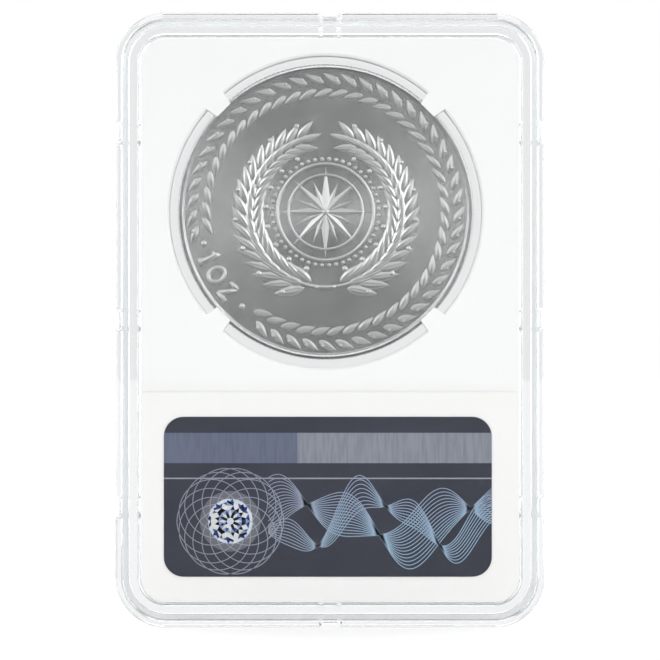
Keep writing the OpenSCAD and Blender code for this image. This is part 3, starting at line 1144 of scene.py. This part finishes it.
class SLAB_OT_coin(bpy.types.Operator):
    """Makes the silver coin with its two struck faces and its reeded edge"""

    bl_idname = "slab.coin"
    bl_label = "Silver Coin"

    def execute(self, context):
        coin = context.scene.slab_coin
        silver = struck_silver("struck_silver", coin, coin.lustre, coin.roughness)
        crisp = struck_silver("crisp_silver", coin, coin.lustre * 0.2, coin.roughness * 1.4)
        tree = arc_tree()
        edge = (COIN_HIGH.x - COIN_LOW.x) / 2 - coin.reed
        reed = reed_mesh((COIN_HIGH.y - coin.drop * 0.6) * 2, math.tau * edge / coin.reeds * 0.6, coin.reed)
        middle = standing(REAR, COIN_MIDDLE.x, 0.0, COIN_MIDDLE.z)
        reeds = round_arc(reed, tree, silver, middle, coin.reeds, edge)
        hand_over(join("coin_body", [coin_blank(coin, silver), reeds], silver), "silver", "coin")
        field = COIN_HIGH.y - coin.drop
        for side, name, design in ((REAR, "coin_rear_relief", rear_design),
                                   (FRONT, "coin_front_relief", front_design)):
            place = standing(side, COIN_MIDDLE.x, side * field, COIN_MIDDLE.z)
            relief = join(name, design(coin, tree, crisp, place), crisp)
            hand_over(dish_relief(relief, coin, side), "silver")
        return {"FINISHED"}


class SLAB_OT_sticker(bpy.types.Operator):
    """Dresses the security sticker and prints its fine lines"""

    bl_idname = "slab.sticker"
    bl_label = "Security Sticker"

    def execute(self, context):
        label = context.scene.slab_label
        dress("security_sticker", security_foil(label))
        ink = iridescent_print(label)
        wide = STICKER_HIGH.x - STICKER_LOW.x
        lens = (LENS_LOW + LENS_HIGH) / 2
        surface = STICKER_LOW.y - label.print
        ribbons = ribbon_tree()
        start = lens.x + 0.0052
        things = []
        for low, lines, spread, wave, swing, phase, pinch in (
                (0.0078, 15, 0.0085, 7.5, 0.0026, 0.4, 8.6),
                (0.0078, 9, 0.0052, 9.5, 0.0033, 3.3, 11.5)):
            values = {"Long": STICKER_HIGH.x - start - 0.00002, "Lines": lines, "Spread": spread,
                      "Wave": wave, "Swing": swing, "Phase": phase, "Pinch": pinch,
                      "Width": label.line, "Material": ink}
            bundle = run_tree(empty_object("bundle"), ribbons, values)
            facing_up(bundle.data)
            bundle.data.transform(standing(REAR, start, surface, STICKER_LOW.z + low))
            things.append(bundle)
            surface -= label.print
        values = {"Circles": 14, "Offset": 0.0028, "Radius": 0.0045, "Width": label.line,
                  "Material": ink}
        rosette = run_tree(empty_object("rosette"), rosette_tree(), values)
        facing_up(rosette.data)
        rosette.data.transform(standing(REAR, lens.x, surface, lens.z))
        things.append(rosette)
        hand_over(join("sticker_fine_lines", things, ink), "dark_foil")
        return {"FINISHED"}


class SLAB_OT_lens(bpy.types.Operator):
    """Makes the faceted lens on the sticker, with glints and dark reflections painted into its facets'
    colours
    """

    bl_idname = "slab.lens"
    bl_label = "Sticker Lens"

    def execute(self, context):
        low, high = LENS_LOW, LENS_HIGH
        foil = foil_with_painted_glints()
        cut = lens_mesh((high.x - low.x) / 2, (high.y - low.y) * 1.3)
        rims = [edge for edge in cut.edges if edge.is_boundary]
        bmesh.ops.holes_fill(cut, edges=rims, sides=0)
        bmesh.ops.recalc_face_normals(cut, faces=cut.faces)
        mesh = bpy.data.meshes.new("sticker_lens_facets")
        cut.to_mesh(mesh)
        cut.free()
        mesh.materials.append(foil)
        mesh.transform(standing(REAR, (low.x + high.x) / 2, high.y, (low.z + high.z) / 2))
        hand_over(mesh_object("sticker_lens_facets", mesh), "lens_foil", "sticker_lens")
        return {"FINISHED"}


class SLAB_OT_stage(bpy.types.Operator):
    """Sets the camera, the lamps, the pale floor and the surroundings"""

    bl_idname = "slab.stage"
    bl_label = "Studio Stage"

    def execute(self, context):
        stage = context.scene.slab_stage
        middle = (CAD_BOX[0] + CAD_BOX[1]) / 2
        lens = bpy.data.cameras.new("camera")
        lens.sensor_width = 36.0
        lens.lens = lens.sensor_width * stage.distance / stage.field
        lens.clip_start, lens.clip_end = 0.01, 20.0
        camera = mesh_object("camera", lens)
        camera.location = (middle.x, -stage.distance, middle.z - stage.drop)
        camera.rotation_euler = (math.radians(90), 0, 0)
        context.scene.camera = camera
        for name, spot, size, power in (
                ("overhead", (0.0, -0.68, 0.3), (0.24, 0.2), stage.top),
                ("left", (-0.5, -0.56, 0.26), (0.35, 0.6), stage.key * 0.94),
                ("right", (0.5, -0.56, 0.22), (0.35, 0.6), stage.key * 1.06),
                ("rear_overhead", (0.0, 0.68, 0.3), (0.24, 0.2), stage.top),
                ("rear_left", (-0.5, 0.56, 0.26), (0.35, 0.6), stage.key * 0.94),
                ("rear_right", (0.5, 0.56, 0.22), (0.35, 0.6), stage.key * 1.06)):
            lamp = bpy.data.lights.new(name, "AREA")
            lamp.shape = "RECTANGLE"
            lamp.size, lamp.size_y = size
            lamp.energy = power
            holder = mesh_object(name, lamp)
            holder.location = spot
            holder.rotation_euler = (middle - Vector(spot)).to_track_quat("-Z", "Y").to_euler()
        reach, edge = 3.0, -stage.table
        corners = [(-reach, edge, 0), (reach, edge, 0), (reach, reach, 0), (-reach, reach, 0)]
        mesh = bpy.data.meshes.new("floor")
        mesh.from_pydata(corners, [], [(0, 1, 2, 3)])
        mesh.materials.append(studio_floor((0.9, 0.9, 0.9)))
        mesh_object("floor", mesh)
        self.surroundings(context, stage)
        context.scene.view_settings.view_transform = "Standard"
        return {"FINISHED"}

    def surroundings(self, context, stage):
        """A white room that is dimmer in front of and behind the slab, and plain white to look at."""
        world = bpy.data.worlds.new("studio")
        context.scene.world = world
        world.use_nodes = True
        tree = world.node_tree
        tree.nodes.clear()
        way = make(tree, "ShaderNodeTexCoord", output="Generated")
        _, along, _ = axes(tree, way)
        dim = along.math("ABSOLUTE").ramp(0.5, 0.86)
        lift = along.output("Z").ramp(-0.45, 0.35) * (1.0 - stage.below) + stage.below
        side_light = (stage.white - dim * (stage.white - stage.dim)) * lift
        room = make(tree, "ShaderNodeBackground", None,
                    {"Color": (1.0, 1.0, 1.0), "Strength": side_light})
        path = make(tree, "ShaderNodeLightPath", output="Glossy Depth")
        beyond = 1.0 - path.output("Is Transmission Ray") * (1.0 - stage.beyond)
        white = make(tree, "ShaderNodeBackground", None, {"Color": (1.0, 1.0, 1.0), "Strength": beyond})
        bounced = path + path.output("Diffuse Depth")
        straight = bounced.math("LESS_THAN", 0.5)
        mixed = make(tree, "ShaderNodeMixShader", None, {0: straight, 1: room, 2: white})
        make(tree, "ShaderNodeOutputWorld", None, {"Surface": mixed})


class SLAB_PT_panel(bpy.types.Panel):
    """Lists the slab's pieces and sizes"""

    bl_label = "Coin Slab"
    bl_idname = "SLAB_PT_panel"
    bl_space_type = "VIEW_3D"
    bl_region_type = "UI"
    bl_category = "Coin Slab"

    def draw(self, context):
        for operator in OPERATORS:
            self.layout.operator(operator.bl_idname)
        for name, group in GROUPS.items():
            box = self.layout.box()
            for setting in group.__annotations__:
                box.prop(getattr(context.scene, name), setting)


GROUPS = {"slab_case": SlabCaseSettings, "slab_coin": SlabCoinSettings,
          "slab_label": SlabLabelSettings, "slab_stage": SlabStageSettings}
OPERATORS = (SLAB_OT_stage, SLAB_OT_core, SLAB_OT_coin, SLAB_OT_sticker, SLAB_OT_lens, SLAB_OT_shells)
CLASSES = (*GROUPS.values(), *OPERATORS, SLAB_PT_panel)


def register():
    for kind in CLASSES:
        bpy.utils.register_class(kind)
    for name, group in GROUPS.items():
        setattr(bpy.types.Scene, name, PointerProperty(type=group))


def unregister():
    for name in GROUPS:
        delattr(bpy.types.Scene, name)
    for kind in reversed(CLASSES):
        bpy.utils.unregister_class(kind)


def main():
    register()
    bpy.ops.slab.stage()
    bpy.ops.slab.core()
    bpy.ops.slab.coin()
    bpy.ops.slab.sticker()
    bpy.ops.slab.lens()
    bpy.ops.slab.shells()


if __name__ == "__main__":
    main()
